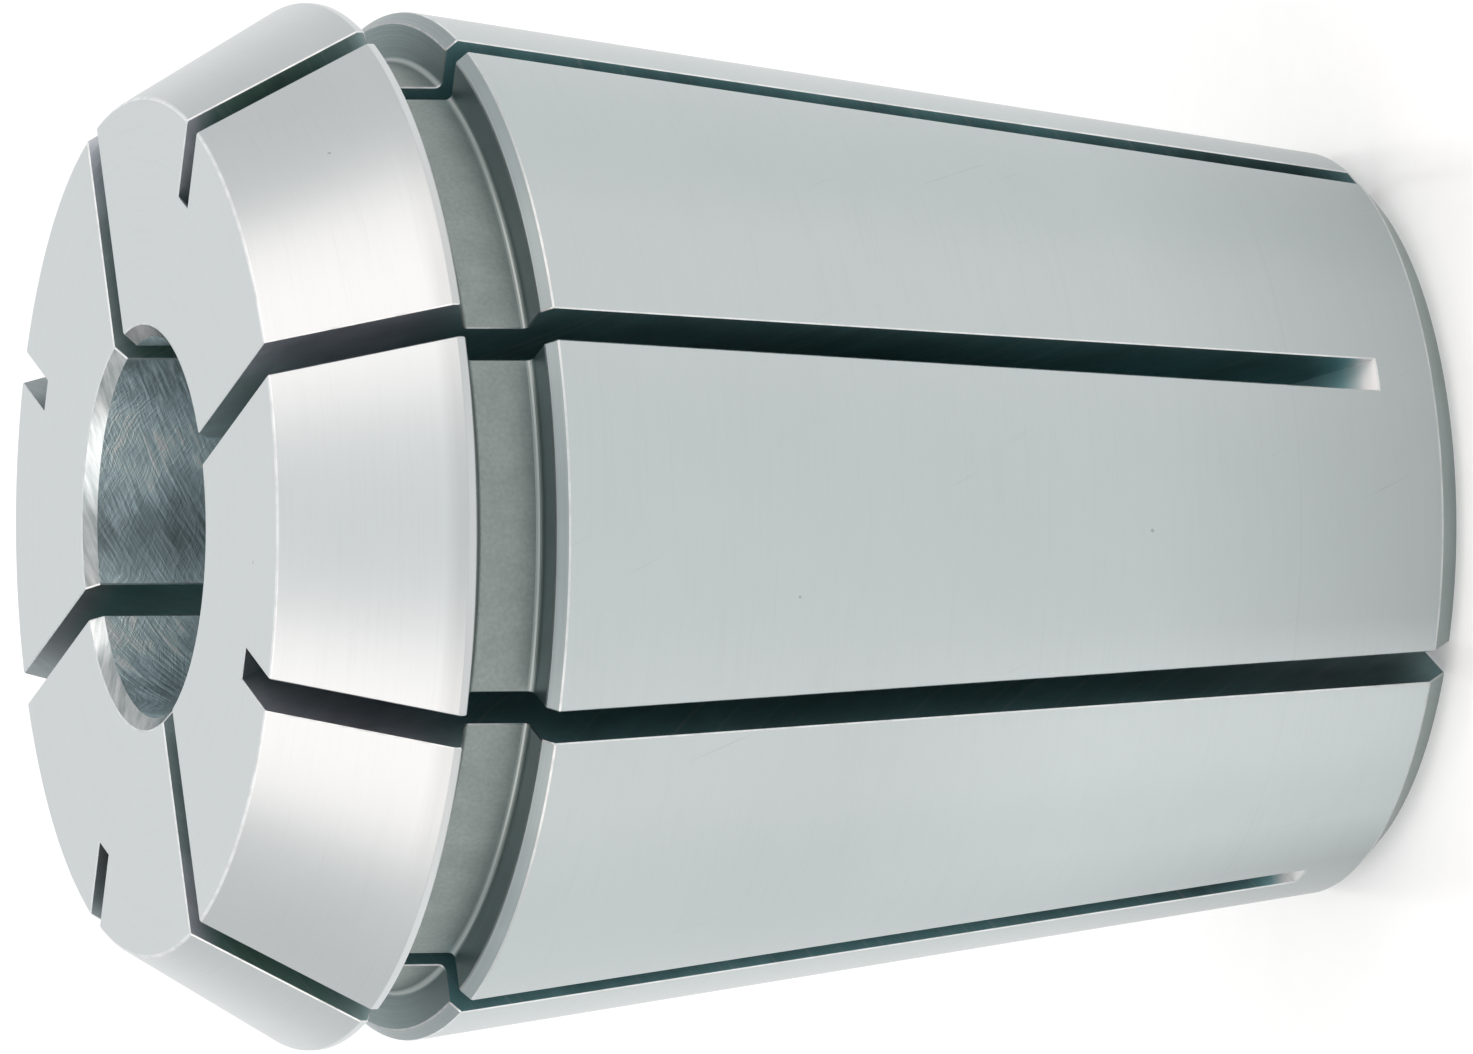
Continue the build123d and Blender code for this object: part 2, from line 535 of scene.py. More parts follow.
def mottled_finish(name):
    """A small cut that chattered, so it is grey with bright spots, two painted highlights and
    painted shade on one side.
    """
    finish = Finish(name, "around", "height")
    patches = finish.streaks(spacing=0.7, length=0.7, cover=0.5, sharpness=3.0)
    # Two painted highlights on the chamfer.
    painted_highlight = finish.facing(PAINTED_HIGHLIGHT_TURN, 0.32, 0.16)
    small_painted_highlight = finish.facing(SMALL_PAINTED_HIGHLIGHT_TURN, 0.20, 0.06)
    finish.tone((0.27, 0.30, 0.30), (0.50, 0.52, 0.52), patches, cloud_size=1.5, clouding=0.08,
                shade=shaded_side(finish) * 0.45 - painted_highlight - small_painted_highlight * 0.8)
    return finish.done(patches * 0.08 + 0.22)


HONED_BORE = honed_finish("honed bore")
BORE_CHAMFER = mottled_finish("bore chamfer")
print("bore:", HONED_BORE.name, BORE_CHAMFER.name)

# %% [markdown]
# ### Cut surfaces
#
# The saw is a disc, so each tooth leaves an arc on the walls of its slot. The slots are cut
# before hardening and never ground, so their walls keep the dark skin of the furnace. Its
# tint varies: pale blue in the nearest slots of the head, and bare steel where the front slots
# run out. The darker green of the head's other slots, the dark slots on the far side and the
# darker lower parts of the slots are painted shade. The broach is pushed straight through, so
# the flats of the square have lines along the axis.
#
# Every sharp outer edge is broken by hand. The small bevel is fresh metal, and it shines.

# %% Sawn slots, broached square, broken edges
def sawn_skin(finish, front, far_side_shade):
    """The tint of a slot's walls, with painted shade in the head's other slots and, darker deeper
    in, on the side away from the camera. Each tint lies over the ones before it.
    """
    head = finish.height.ramp(33.8, 36.0)
    head_rim = head * finish.radius.ramp(10.0, 12.0)
    near = finish.x.ramp(2.0, 4.0) * finish.y.ramp(6.0, 3.0)
    # Painted shade: the head's slots other than the nearest ones are darker, and so are the slots
    # on the far side.
    shaded_head_slots = head * finish.height.ramp(39.7, 39.0) * (-near + 1.0)
    run_out = finish.height.ramp(3.6, 3.1) * front
    deep = finish.radius.ramp(11.0, 8.5) * finish.height.ramp(39.7, 38.7)
    skin = (0.30, 0.50, 0.52)
    for tint, share in (((0.46, 0.55, 0.56), head), ((0.63, 0.655, 0.71), head_rim),
                        ((0.30, 0.45, 0.41), shaded_head_slots), ((0.74, 0.735, 0.74), run_out),
                        ((0.24, 0.28, 0.29), far_side_shade), ((0.08, 0.30, 0.31), far_side_shade * deep)):
        skin = blended(finish.tree, skin, tint, share)
    return skin


def sawn_finish(name):
    """Arcs of the saw's radius. They bend one way in the front slots, the other in the rear."""
    finish = Finish(name)
    saw_radius = SIZES["Saw Diameter"] / 2
    saw_centre = SIZES["Saw Reach"] + saw_radius
    from_centre = -finish.radius + saw_centre
    bulge = (-(from_centre * from_centre) + saw_radius ** 2).maths("MAXIMUM", 0.0).root()
    quarter = (finish.turn * COUNTS["Slots Each End"]).maths("COSINE").maths("SIGN")
    finish.across, finish.along = finish.height + quarter * bulge, finish.radius
    lines = finish.streaks("Wave", spacing=0.14, length=30.0)
    bright = finish.streaks(drift=6.0, spacing=0.22, length=18.0, cover=0.38, sharpness=8.0)
    front = quarter.maths("MAXIMUM", 0.0)
    far_side_shade = finish.x.ramp(-2.0, -5.0)
    # Painted shade: the rear slots are darker towards the rear end, and the front slots darker
    # just above where they run out.
    rear_slot_shade = finish.height.ramp(12.0, 3.0) * (-front + 1.0) * 0.48
    run_out_shade = finish.height.ramp(9.0, 6.0) * finish.height.ramp(3.6, 4.4) * front * 0.28
    finish.tone(sawn_skin(finish, front, far_side_shade), (0.54, 0.62, 0.62), bright * (-far_side_shade + 1.0) * 0.6,
                cloud_size=2.0, clouding=0.16, shade=rear_slot_shade + run_out_shade)
    return finish.done(lines * 0.08 + 0.42, lines, 0.003)


def broached_finish(name):
    """Straight lines along the axis, on all four flats."""
    finish = Finish(name, along="height")
    finish.across = finish.x + finish.y
    lines = finish.streaks("Wave", spacing=0.12, length=20.0)
    finish.tone((0.40, 0.43, 0.43), (0.2, 0.22, 0.22), lines * 0.4 + 0.3, cloud_size=2.0,
                clouding=0.08)
    return finish.done(lines * 0.08 + 0.36, lines, 0.003)


def edge_finish(name, steel, dull_and_shade):
    """Fresh steel with faint nicks, dulled in the blasted groove, with painted shade at the rear
    end.
    """
    finish = Finish(name)
    nicks = finish.streaks(spacing=0.6, length=0.6, cover=0.45, sharpness=4.0)
    groove = finish.height.ramp(31.50, 31.55) * finish.height.ramp(34.5, 34.4)
    # Painted shade: the edges darken towards the rear end.
    rear = finish.height.ramp(4.0, 2.5)
    finish.tone(steel, darker(steel, 0.85), nicks, cloud_size=1.0, clouding=0.03,
                shade=(groove * 0.42 + rear * 0.2) * dull_and_shade)
    return finish.done(nicks * 0.12 + 0.30)


SAWN_SLOT = sawn_finish("sawn slot")
BROACHED_SQUARE = broached_finish("broached square")
BROKEN_EDGE = edge_finish("broken edge", (0.70, 0.735, 0.735), 1.0)
FACE_RIM = edge_finish("face rim", (0.80, 0.82, 0.825), 0.0)
print("cut:", SAWN_SLOT.name, BROACHED_SQUARE.name, BROKEN_EDGE.name, FACE_RIM.name)

# %% [markdown]
# ## The body as a recipe
#
# The shape follows a rule: a section turned round the axis, then the same cut repeated every
# quarter turn. Geometry Nodes suit that, because the recipe stays readable and each size
# stays an input. It works in millimetres, which keeps the small bevels exact.
#
# The section is a ring of corners, written below from the rear face round to the relief. A
# Fillet Curve node rounds the corners that have a radius. Curve to Mesh sweeps the section
# round a circle of the bore's own radius, so the section is drawn from that circle outwards.
# Where the square will be, the lathe leaves a slightly smaller hole for the broach to open.

# %% The section's corners
BROACH_ALLOWANCE = 0.1


def outer_levels(size):
    """Heights of the head's edge, its underside, the shoulder and the taper's wide end."""
    head_edge = size["Overall Length"] - size["Nose Length"]
    shoulder_top = size["Overall Length"] - size["Shoulder Setback"]
    taper_top = shoulder_top - size["Shoulder Chamfer"]
    return head_edge, head_edge - size["Head Land"], shoulder_top, taper_top


def section_corners(size):
    """Each corner's distance from the axis, its height and its rounding."""
    length, bore = size["Overall Length"], size["Bore Diameter"] * 0.5
    head, shoulder = size["Head Diameter"] * 0.5, size["Shoulder Diameter"] * 0.5
    head_edge, underside, shoulder_top, taper_top = outer_levels(size)
    face = head - size["Nose Length"] * size["Nut Half Angle"].tan_of_degrees()
    groove = shoulder - size["Groove Depth"]
    underside_foot = underside - (head - groove) * size["Underside Angle"].tan_of_degrees()
    rear_chamfer = size["Rear Chamfer"]
    rear = taper_radius(size, rear_chamfer)
    socket_top = size["Relief Depth"] + size["Socket Length"]
    recess_top = socket_top + size["Recess Width"]
    recess, relief = size["Recess Diameter"] * 0.5, size["Relief Diameter"] * 0.5
    pilot = size["Socket Width"] * 0.5 - BROACH_ALLOWANCE
    return [
        (rear - rear_chamfer, 0.0, 0.0),
        (rear, rear_chamfer, 0.0),
        (shoulder, taper_top, 0.0),
        (shoulder - size["Shoulder Chamfer"], shoulder_top, 0.0),
        (groove, shoulder_top, size["Groove Root Radius"]),
        (groove, underside_foot, size["Groove Root Radius"]),
        (head, underside, size["Head Edge Radius"]),
        (head, head_edge, size["Head Edge Radius"]),
        (face, length, size["Face Edge Radius"]),
        (bore + size["Bore Chamfer"], length, 0.0),
        (bore, length - size["Bore Chamfer"], 0.0),
        (bore, recess_top, 0.0),
        (recess, recess_top, 0.0),
        (recess, socket_top, 0.0),
        (pilot, socket_top, 0.0),
        (pilot, size["Relief Depth"], 0.0),
        (relief, size["Relief Depth"], 0.0),
        (relief, size["Relief Chamfer"], 0.0),
        (relief + size["Relief Chamfer"], 0.0, 0.0),
    ]


def taper_radius(size, height):
    """Radius of the long taper at a height above the rear face."""
    below_top = outer_levels(size)[-1] - height
    drop = below_top * size["Holder Half Angle"].tan_of_degrees()
    return size["Shoulder Diameter"] * 0.5 - drop


# %% Sweeping the section
def by_index(tree, kind, values):
    """A field that gives each point its own value from a list."""
    switch = put(tree, "GeometryNodeIndexSwitch", data_type=kind)
    while len(switch.index_switch_items) < len(values):
        switch.index_switch_items.new()
    fill(tree, switch.inputs["Index"], made(tree, "GeometryNodeInputIndex"))
    for place, value in enumerate(values, start=1):
        fill(tree, switch.inputs[place], value)
    return switch.outputs[0]


def welded(tree, shape):
    """The shape with the points that lie on each other made one."""
    return made(tree, "GeometryNodeMergeByDistance", {"Geometry": shape, "Distance": 0.001})


def turned_blank(tree, size):
    """The section's corners as a closed, rounded curve, swept once round the axis."""
    bore = size["Bore Diameter"] * 0.5
    corners = section_corners(size)
    places = [xyz(tree, radius - bore, height) for radius, height, _ in corners]
    points = made(tree, "GeometryNodeMeshLine", {"Count": len(corners)})
    placed = made(tree, "GeometryNodeSetPosition",
                  {"Geometry": points, "Position": by_index(tree, "VECTOR", places)})
    curve = made(tree, "GeometryNodeMeshToCurve", {"Mesh": placed})
    closed = made(tree, "GeometryNodeSetSplineCyclic", {"Geometry": curve, "Cyclic": True})
    radii = by_index(tree, "FLOAT", [rounding for _, _, rounding in corners])
    section = made(tree, "GeometryNodeFilletCurve",
                   {"Curve": closed, "Count": 5, "Radius": radii}, mode="POLY")
    circle = made(tree, "GeometryNodeCurvePrimitiveCircle",
                  {"Resolution": size["Columns"], "Radius": bore})
    level = made(tree, "GeometryNodeSetCurveNormal", {"Curve": circle}, mode="Z_UP")
    swept = made(tree, "GeometryNodeCurveToMesh", {"Curve": level, "Profile Curve": section})
    upright = made(tree, "GeometryNodeTransform",
                   {"Geometry": swept, "Rotation": (math.pi, 0.0, 0.0)})
    return welded(tree, upright)


# %% [markdown]
# ### The cutting tools
#
# A cut is a solid that is taken away. The broach is a square bar with rounded corners. The
# saw is a disc that travels along the slot, and the space it sweeps is the hull of the disc
# at the two ends of its stroke. That gives the slots the round ends of the real ones: the
# front slots run out in an arc just short of the rear face, and the rear slots come up to
# the front face and leave only a short notch in it.
#
# The rear slots stand halfway between the front ones, so both ends can close evenly.

# %% Broach and saw
def joined(tree, *parts):
    join = put(tree, "GeometryNodeJoinGeometry")
    for part in parts:
        tree.links.new(part, join.inputs[0])
    return join.outputs[0]


def broach(tree, size):
    """A square bar, a little longer than the socket at both ends."""
    overrun = 0.5
    square = made(tree, "GeometryNodeCurvePrimitiveQuadrilateral",
                  {"Width": size["Socket Width"], "Height": size["Socket Width"]})
    outline = made(tree, "GeometryNodeFilletCurve",
                   {"Curve": square, "Count": 6, "Radius": size["Socket Corner Radius"]},
                   mode="POLY")
    end = made(tree, "GeometryNodeFillCurve", {"Curve": outline}, mode="NGONS")
    bar = made(tree, "GeometryNodeExtrudeMesh",
               {"Mesh": end, "Offset": (0.0, 0.0, 1.0),
                "Offset Scale": size["Socket Length"] + 2 * overrun})
    closed = welded(tree, joined(tree, bar, made(tree, "GeometryNodeFlipFaces", {"Mesh": end})))
    lift = xyz(tree, z=size["Relief Depth"] - overrun)
    return made(tree, "GeometryNodeTransform", {"Geometry": closed, "Translation": lift})


def saw_stroke(tree, size, start, stop):
    """The space that the saw sweeps while its centre goes from one height to another."""
    radius = size["Saw Diameter"] * 0.5
    blade = made(tree, "GeometryNodeMeshCylinder",
                 {"Vertices": size["Blade Corners"], "Radius": radius,
                  "Depth": size["Slot Width"]})
    ends = [made(tree, "GeometryNodeTransform",
                 {"Geometry": blade, "Rotation": (math.pi / 2, 0.0, 0.0),
                  "Translation": xyz(tree, size["Saw Reach"] + radius, z=height)})
            for height in (start, stop)]
    return made(tree, "GeometryNodeConvexHull", {"Geometry": joined(tree, *ends)})


def saw_half_span(size, radius):
    """How far above and below its centre the saw cuts, at a distance from the axis."""
    saw = size["Saw Diameter"] * 0.5
    from_centre = size["Saw Reach"] + saw - radius
    return (saw * saw - from_centre * from_centre).root()


def every_quarter(tree, size, cutter, offset):
    """The cutter repeated round the axis, offset by a share of one step."""
    points = made(tree, "GeometryNodePoints", {"Count": size["Slots Each End"]})
    index = Number(tree, made(tree, "GeometryNodeInputIndex"))
    turn = (index + offset) * math.tau / size["Slots Each End"]
    rotation = made(tree, "FunctionNodeEulerToRotation", {0: xyz(tree, z=turn)})
    copies = made(tree, "GeometryNodeInstanceOnPoints",
                  {"Points": points, "Instance": cutter, "Rotation": rotation})
    return made(tree, "GeometryNodeRealizeInstances", {"Geometry": copies})


# %% [markdown]
# ### Which finish goes where
#
# A cut surface takes the material of the tool that cut it, because the boolean hands it on.
# The turned surfaces are told apart by height and by distance from the axis: a row of Set
# Material nodes at the end of the tree gives each zone its finish.

# %% The zones of the turned surface
def zones(size):
    """Finish, lowest and highest height, least and greatest distance from the axis."""
    _, underside, shoulder_top, taper_top = outer_levels(size)
    length = size["Overall Length"]
    root_top = shoulder_top + size["Groove Root Radius"]
    recess_top = size["Relief Depth"] + size["Socket Length"] + size["Recess Width"]
    chamfer_foot = length - size["Bore Chamfer"]
    clear = size["Relief Diameter"] * 0.5 + 1.0
    hair, beyond = 0.02, 99.0
    outside, inside = (clear, beyond), (0.0, clear)
    return [
        (REAR_FACE, -1.0, hair / 4, *outside),
        (REAR_CHAMFER, hair / 4, size["Rear Chamfer"], *outside),
        (GROUND_TAPER, size["Rear Chamfer"], taper_top, *outside),
        (SHOULDER_EDGE, taper_top, shoulder_top - hair, *outside),
        (SHOULDER_WALL, shoulder_top - hair, shoulder_top + hair / 4, *outside),
        (GROOVE_ROOT, shoulder_top + hair / 4, root_top, *outside),
        (BLASTED_GROOVE, root_top, underside - 0.1, *outside),
        (GROUND_CONE, underside - 0.1, length - 0.06, *outside),
        (FACE_RIM, length - 0.06, length - 0.001, *outside),
        (GROUND_FACE, length - 0.001, length + 1.0, 0.0, beyond),
        (BORE_CHAMFER, chamfer_foot, length - hair, *inside),
        (HONED_BORE, recess_top + hair, chamfer_foot, *inside),
    ]


def between(value, low, high):
    """1 where the value lies between the two, 0 elsewhere."""
    return ((value - low) * (-value + high)).above(0.0)


# %% The whole recipe
def collet_recipe():
    """Blank, broach, front slots, rear slots, zones."""
    tree = bpy.data.node_groups.new("collet body", "GeometryNodeTree")
    tree.interface.new_socket("Geometry", in_out="OUTPUT", socket_type="NodeSocketGeometry")
    kinds = {**dict.fromkeys(SIZES, "NodeSocketFloat"), **dict.fromkeys(COUNTS, "NodeSocketInt")}
    for label, kind in kinds.items():
        tree.interface.new_socket(label, in_out="INPUT", socket_type=kind)
    entry = tree.nodes.new("NodeGroupInput")
    size = {label: Number(tree, entry.outputs[label]) for label in kinds}

    def finished(part, material, selection=True):
        return made(tree, "GeometryNodeSetMaterial",
                    {"Geometry": part, "Selection": selection, "Material": material})

    slot_stop, length = size["Front Slot Stop"], size["Overall Length"]
    front_start = slot_stop + saw_half_span(size, taper_radius(size, slot_stop))
    front = saw_stroke(tree, size, front_start, length + size["Saw Overrun"])
    rear_stop = length - saw_half_span(size, size["Face Notch Radius"])
    rear = saw_stroke(tree, size, -size["Saw Overrun"], rear_stop)
    cuts = [(broach(tree, size), BROACHED_SQUARE),
            (every_quarter(tree, size, front, 0.0), SAWN_SLOT),
            (every_quarter(tree, size, rear, 0.5), SAWN_SLOT)]
    body = finished(turned_blank(tree, size), TURNED_INSIDE)
    for cutter, material in cuts:
        cut = put(tree, "GeometryNodeMeshBoolean", {"Mesh 1": body}, operation="DIFFERENCE",
                  solver="EXACT")
        tree.links.new(finished(cutter, material), cut.inputs["Mesh 2"])
        body = cut.outputs[0]
    body = made(tree, "GeometryNodeRealizeInstances", {"Geometry": body})
    turned = Number(tree, made(tree, "GeometryNodeMaterialSelection", {0: TURNED_INSIDE}))
    x, y, height = separated(tree, made(tree, "GeometryNodeInputPosition"))
    radius = (x * x + y * y).root()
    for material, low, high, inner, outer in zones(size):
        zone = between(height, low, high) * between(radius, inner, outer)
        body = finished(body, material, turned * zone)
    put(tree, "NodeGroupOutput", {0: body})
    return tree


RECIPE = collet_recipe()
print("recipe:", len(RECIPE.nodes), "nodes,", len(RECIPE.links), "links")

# %% [markdown]
# ## From recipe to body
#
# The recipe is run on an empty object, and `new_from_object` takes the result as a plain
# mesh. Two modifiers then finish it: Decimate joins the slivers that the booleans leave on
# flat faces, and Bevel breaks the sharp edges, giving the little bevel faces the bright
# material. They run while the mesh is still in millimetres.
#
# A stone only reaches the edges that stick out. So the bevel goes by a weight on each edge.
# The inner corners of the slots get none, nor do the edges deep inside: those of the socket,
# the recess and the relief. The hone has already rubbed away the rim of the bore.

# %% Run the recipe
def new_object(name, data):
    """An object in the scene, at the origin."""
    thing = bpy.data.objects.new(name, data)
    bpy.context.scene.collection.objects.link(thing)
    return thing


def taken_mesh(holder):
    """The mesh that an object's modifiers give. The object itself is thrown away."""
    evaluated = holder.evaluated_get(bpy.context.evaluated_depsgraph_get())
    mesh = bpy.data.meshes.new_from_object(evaluated)
    bpy.data.objects.remove(holder)
    return mesh


def run_recipe(recipe, values):
    """Put the recipe on an empty mesh, set its inputs, and take the result."""
    holder = new_object("recipe holder", bpy.data.meshes.new("empty"))
    modifier = holder.modifiers.new("recipe", "NODES")
    modifier.node_group = recipe
    for item in recipe.interface.items_tree:
        if item.in_out == "INPUT":
            modifier[item.identifier] = values[item.name]
    return taken_mesh(holder)


cut_mesh = run_recipe(RECIPE, {**SIZES, **COUNTS})
print("as cut:", len(cut_mesh.vertices), "points,", len(cut_mesh.polygons), "faces")

# %% Clean the flats and break the edges
EDGE_BREAK = 0.04
SHARP_FROM = 28.0


def modified(mesh, kind, **settings):
    """The mesh after one modifier."""
    holder = new_object("part", mesh)
    modifier = holder.modifiers.new(kind.lower(), kind)
    for name, value in settings.items():
        setattr(modifier, name, value)
    return taken_mesh(holder)


def finish_numbers(mesh, *materials):
    """The numbers that a mesh's faces know these materials by."""
    return {mesh.materials.find(material.name) for material in materials}


def weigh_outer_edges(mesh):
    """Give every sharp edge in the stone's reach a bevel weight of 1, and count them."""
    rim = finish_numbers(mesh, HONED_BORE, BORE_CHAMFER)
    deep = finish_numbers(mesh, TURNED_INSIDE, BROACHED_SQUARE)

    def in_reach(edge):
        finishes = {face.material_index for face in edge.link_faces}
        return finishes != rim and not finishes & deep

    shape = bmesh.new()
    shape.from_mesh(mesh)
    weight = shape.edges.layers.float.new("bevel_weight_edge")
    outer = [edge for edge in shape.edges
             if edge.calc_face_angle_signed() > math.radians(SHARP_FROM) and in_reach(edge)]
    for edge in outer:
        edge[weight] = 1.0
    shape.to_mesh(mesh)
    shape.free()
    return len(outer)


flat_mesh = modified(cut_mesh, "DECIMATE", decimate_type="DISSOLVE", delimit={"MATERIAL"},
                     angle_limit=math.radians(0.2))
print("outer edges to break:", weigh_outer_edges(flat_mesh))
flat_mesh.materials.append(BROKEN_EDGE)
body_mesh = modified(flat_mesh, "BEVEL", width=EDGE_BREAK, segments=1, limit_method="WEIGHT",
                     use_clamp_overlap=False, miter_outer="MITER_SHARP",
                     material=len(flat_mesh.materials) - 1)
body_mesh.transform(Matrix.Scale(MM, 4))
print("finished:", len(body_mesh.vertices), "points,", len(body_mesh.polygons), "faces")
print("materials:", [material.name for material in body_mesh.materials])

# %% [markdown]
# ## Exact shading
#
# Smooth shading guesses a curved surface's normals from its flat facets, and next to a slot
# it guesses badly. Here they needn't be guessed. A face left by the lathe keeps its own
# slope, and at each of its corners the normal points straight away from the axis. Elsewhere
# a corner takes the mean of the faces that meet it nearly flat, which makes the arcs of the
# saw round and leaves the flats flat.

# %% Custom normals
def turned_normal(face_normal, centre, corner):
    """The normal at a corner if the face was turned, or None if it was not."""
    out = Vector((centre.x, centre.y, 0.0)).normalized()
    level = Vector((face_normal.x, face_normal.y, 0.0))
    if level.length < 0.01 or abs(level.normalized().dot(out)) < math.cos(math.radians(1.0)):
        return None
    side = 1.0 if level.dot(out) > 0.0 else -1.0
    straight = Vector((corner.x, corner.y, 0.0)).normalized() * side * level.length
    return Vector((straight.x, straight.y, face_normal.z)).normalized()


def exact_normals(mesh):
    """A normal for each corner of each face, in the mesh's own order."""
    straight_cut = finish_numbers(mesh, SAWN_SLOT, BROACHED_SQUARE)
    nearly_flat = math.cos(math.radians(5.0))
    faces_at = [[] for _ in mesh.vertices]
    for face in mesh.polygons:
        for vertex in face.vertices:
            faces_at[vertex].append(face)
    normals = []
    for face in mesh.polygons:
        for vertex in face.vertices:
            exact = None
            if face.material_index not in straight_cut:
                exact = turned_normal(face.normal, face.center, mesh.vertices[vertex].co)
            if exact is None:
                exact = sum((other.normal * other.area for other in faces_at[vertex]
                             if other.normal.dot(face.normal) > nearly_flat), Vector())
            normals.append(exact.normalized())
    return normals


body_mesh.polygons.foreach_set("use_smooth", [True] * len(body_mesh.polygons))
body_mesh.normals_split_custom_set(exact_normals(body_mesh))
print("normals set on", len(body_mesh.loops), "corners")

# %% [markdown]
# ## The finished piece
#
# The piece takes the place of the plain model of the collet. It has no moving part, so it
# rides on the root.

# %% Place the piece
body_mesh.name = "collet body"
collet = new_object("collet_body", body_mesh)
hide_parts("collet")
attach(collet, "root")
triangles = sum(len(face.vertices) - 2 for face in body_mesh.polygons)
print("collet_body:", triangles, "triangles")

# %% [markdown]
# ## The studio
#
# Bare steel has hardly any colour of its own: it shows what stands round it. A product
# studio puts it in a white room, so every surface reflects something pale, and adds two
# large soft lamps. Here the lamps stand to the left and right of the camera, and each one
# makes a broad, slightly warm highlight on the cone of the head. The room is dimmer at the
# sides, near the floor, which gives the collet's flanks some depth.
#
# The floor is a smooth, nearly white sheet, with painted shade and light that make it a touch
# darker to the right. It is lit like any other surface, so it keeps the shadow of the collet,
# and it glows a little for the camera and for reflections, so that the open floor reaches white.

# %% Floor
FLOOR_COLOUR = (0.88, 0.885, 0.885)
FLOOR_FIBRES = (0.93, 0.93, 0.93)
FLOOR_GLOW = 0.25
FLOOR_RADIUS = 3.0
FLOOR_GRADIENT = 1.0
GRADIENT_REACH = 0.05
CAMERA_AZIMUTH = -22.5


def direction(azimuth, elevation):
    """The unit vector towards an azimuth and an elevation, in degrees."""
    turn, rise = math.radians(azimuth), math.radians(elevation)
    level = math.cos(rise)
    return Vector((math.cos(turn) * level, math.sin(turn) * level, math.sin(rise)))


RIGHT = direction(CAMERA_AZIMUTH + 90.0, 0.0)


def to_the_right(tree, place):
    """How far a place lies to the camera's right."""
    node = put(tree, "ShaderNodeVectorMath", {0: place, 1: RIGHT}, operation="DOT_PRODUCT")
    return Number(tree, node.outputs["Value"])


def seen_or_mirrored(tree):
    """1 for a ray from the camera, or one that metal or glass sends on, 0 for other light."""
    path = put(tree, "ShaderNodeLightPath")
    camera = Number(tree, path.outputs["Is Camera Ray"])
    glossy = camera.maths("MAXIMUM", path.outputs["Is Glossy Ray"])
    return glossy.maths("MAXIMUM", path.outputs["Is Transmission Ray"])


def floor_material():
    """A smooth sheet with faint fibres, with painted shade and light graded from side to side
    under the collet.
    """
    material = bpy.data.materials.new("studio floor")
    tree = emptied_tree(material)
    place = put(tree, "ShaderNodeTexCoord").outputs["Object"]
    fibres = noise(tree, place, detail=3.0, scale=900.0)
    tone = blended(tree, FLOOR_COLOUR, FLOOR_FIBRES, fibres)
    # Painted light and shade: the floor is darker to the right and lighter to the left.
    side = to_the_right(tree, place).maths("MINIMUM", GRADIENT_REACH)
    side = side.maths("MAXIMUM", -GRADIENT_REACH)
    sheet = made(tree, "ShaderNodeBsdfPrincipled",
                 {"Base Color": times(tree, tone, side * -FLOOR_GRADIENT + 1.0),
                  "Roughness": 0.22, "IOR": 1.65, "Emission Color": (1.0, 1.0, 1.0, 1.0),
                  "Emission Strength": seen_or_mirrored(tree) * FLOOR_GLOW})
    put(tree, "ShaderNodeOutputMaterial", {"Surface": sheet})
    return material


def floor_disc(radius, corners=64):
    """One round face at the height of the rear end."""
    mesh = bpy.data.meshes.new("studio floor")
    turns = [step * math.tau / corners for step in range(corners)]
    rim = [(radius * math.cos(turn), radius * math.sin(turn), 0.0) for turn in turns]
    mesh.from_pydata(rim, [], [list(range(corners))])
    mesh.materials.append(floor_material())
    return new_object("studio_floor", mesh)


floor = floor_disc(FLOOR_RADIUS)
print("floor radius:", round(floor.dimensions.x / 2, 2), "m")

# %% White room and two soft lamps
ROOM_LIGHT = 0.85
SIDE_WALL_DIMMING = 0.45
SIDE_WALL_HEIGHT = 0.6
LAMP_DISTANCE = 0.40
LAMP_SIZE = (0.31, 0.38)
LAMP_BRIGHTNESS = 0.86
LAMP_COLOUR = (1.0, 0.84, 0.79)
LAMP_PLACES = {"right lamp": (61.0, 37.0), "left lamp": (-56.0, 36.0)}


def white_room():
    """White all round, dimmer at the sides near the floor for every ray but the camera's."""
    world = bpy.data.worlds.new("white room")
    tree = emptied_tree(world)
    towards = put(tree, "ShaderNodeTexCoord").outputs["Generated"]
    side = to_the_right(tree, towards).absolute()
    rise = separated(tree, towards)[2]
    low = (-rise / SIDE_WALL_HEIGHT + 1.0).maths("MAXIMUM", 0.0)
    camera_ray = Number(tree, put(tree, "ShaderNodeLightPath").outputs["Is Camera Ray"])
    wall = side * low * (camera_ray - 1.0) * SIDE_WALL_DIMMING + 1.0
    strength = (seen_or_mirrored(tree) * (1.0 - ROOM_LIGHT) + ROOM_LIGHT) * wall
    background = made(tree, "ShaderNodeBackground",
                      {"Color": (1.0, 1.0, 1.0, 1.0), "Strength": strength})
    put(tree, "ShaderNodeOutputWorld", {"Surface": background})
    bpy.context.scene.world = world


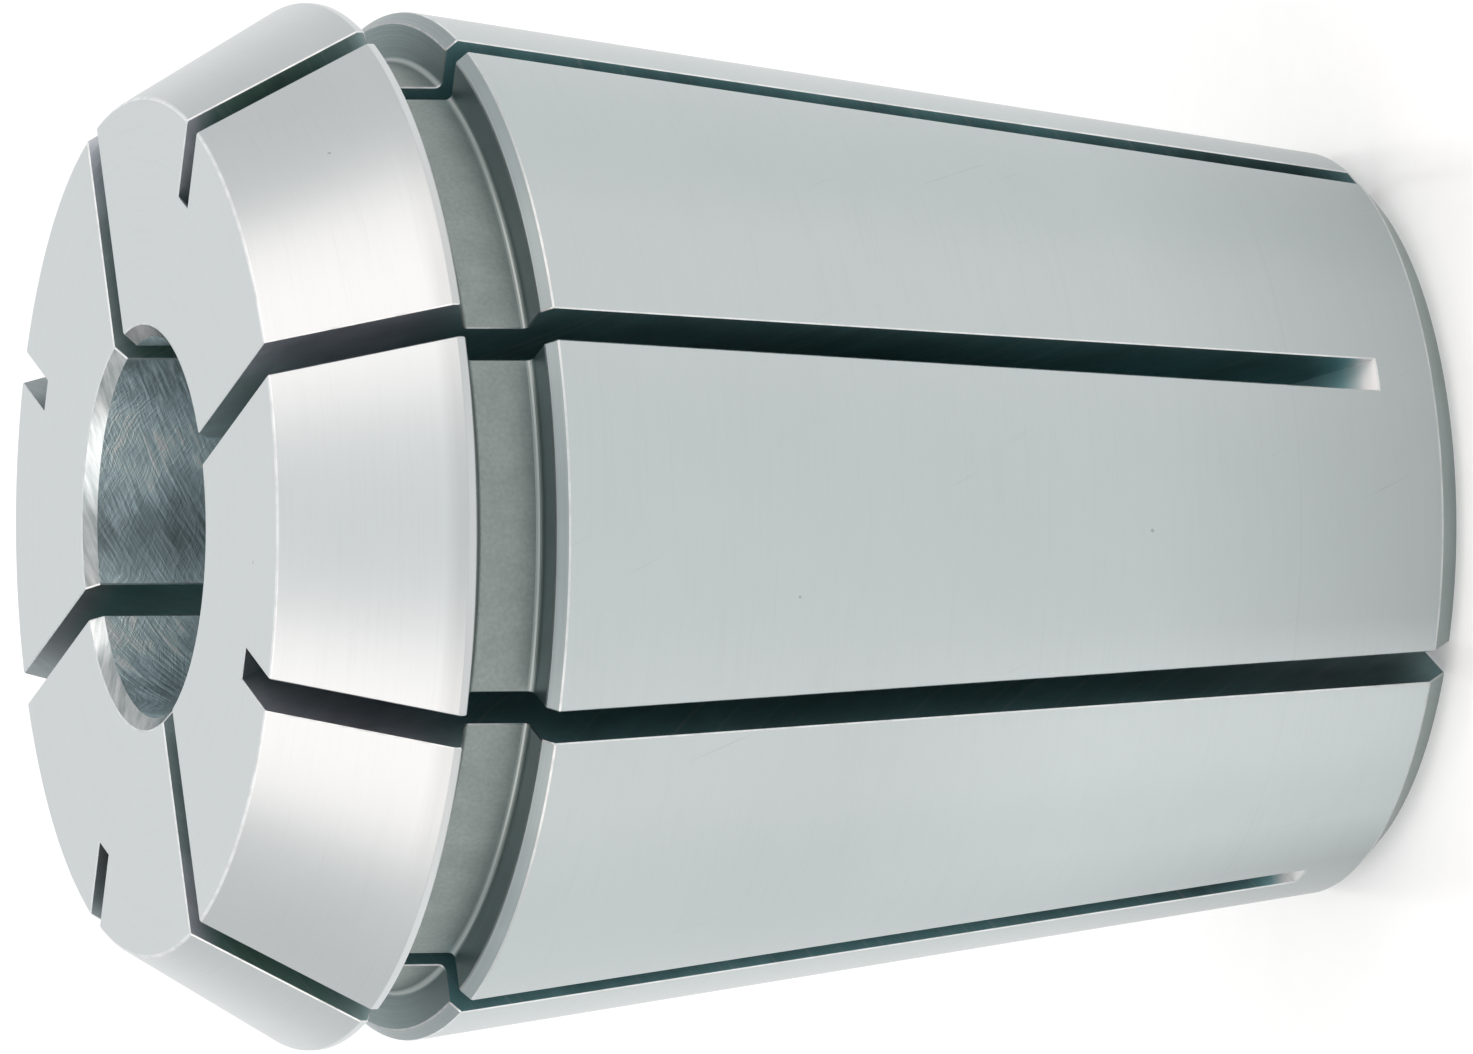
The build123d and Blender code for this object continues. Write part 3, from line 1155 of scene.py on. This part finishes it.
def soft_lamp(name, side, elevation):
    """A flat lamp beside the camera. Its power is its brightness times its area times pi."""
    light = bpy.data.lights.new(name, "AREA")
    light.shape = "RECTANGLE"
    light.size, light.size_y = LAMP_SIZE
    light.energy = LAMP_BRIGHTNESS * LAMP_SIZE[0] * LAMP_SIZE[1] * math.pi
    light.color = LAMP_COLOUR
    lamp = new_object(name, light)
    towards = direction(CAMERA_AZIMUTH + side, elevation)
    lamp.location = towards * LAMP_DISTANCE
    lamp.rotation_euler = towards.to_track_quat("Z", "Y").to_euler()
    return lamp


white_room()
lamps = [soft_lamp(name, *place) for name, place in LAMP_PLACES.items()]
print("lamps at", [rounded(lamp.location, 3) for lamp in lamps])

# %% [markdown]
# ## The camera
#
# The collet stands on its rear face, but a turned part is usually shown lying down, with its
# face to the left. So the camera looks at the standing part from a little above, and is
# rolled by a quarter turn: up on the part is left in the picture. A long lens from half a
# metre keeps the circles of the head nearly true.

# %% Camera
CAMERA_ELEVATION = 19.82
CAMERA_DISTANCE = 505.5 * MM
CAMERA_AIM_HEIGHT = 20.18 * MM
CAMERA_SIDESTEP = -0.06 * MM
CAMERA_ROLL = 0.226
LENS = 388.2


def quarter_rolled_camera():
    """A camera aimed at the axis, with the part's head to the left of the picture."""
    towards = direction(CAMERA_AZIMUTH, CAMERA_ELEVATION)
    along = towards.cross(RIGHT)
    roll = math.radians(CAMERA_ROLL)
    left = along * math.cos(roll) + RIGHT * math.sin(roll)
    up = RIGHT * math.cos(roll) - along * math.sin(roll)
    aim = Vector((0.0, 0.0, CAMERA_AIM_HEIGHT)) + RIGHT * CAMERA_SIDESTEP
    turned = Matrix((-left, up, towards)).transposed().to_4x4()
    data = bpy.data.cameras.new("camera")
    data.lens = LENS
    camera = new_object("camera", data)
    camera.matrix_world = Matrix.Translation(aim + towards * CAMERA_DISTANCE) @ turned
    return camera


bpy.context.scene.camera = quarter_rolled_camera()
bpy.context.scene.view_settings.view_transform = "Standard"
print("camera at", rounded(bpy.context.scene.camera.matrix_world.translation, 3))
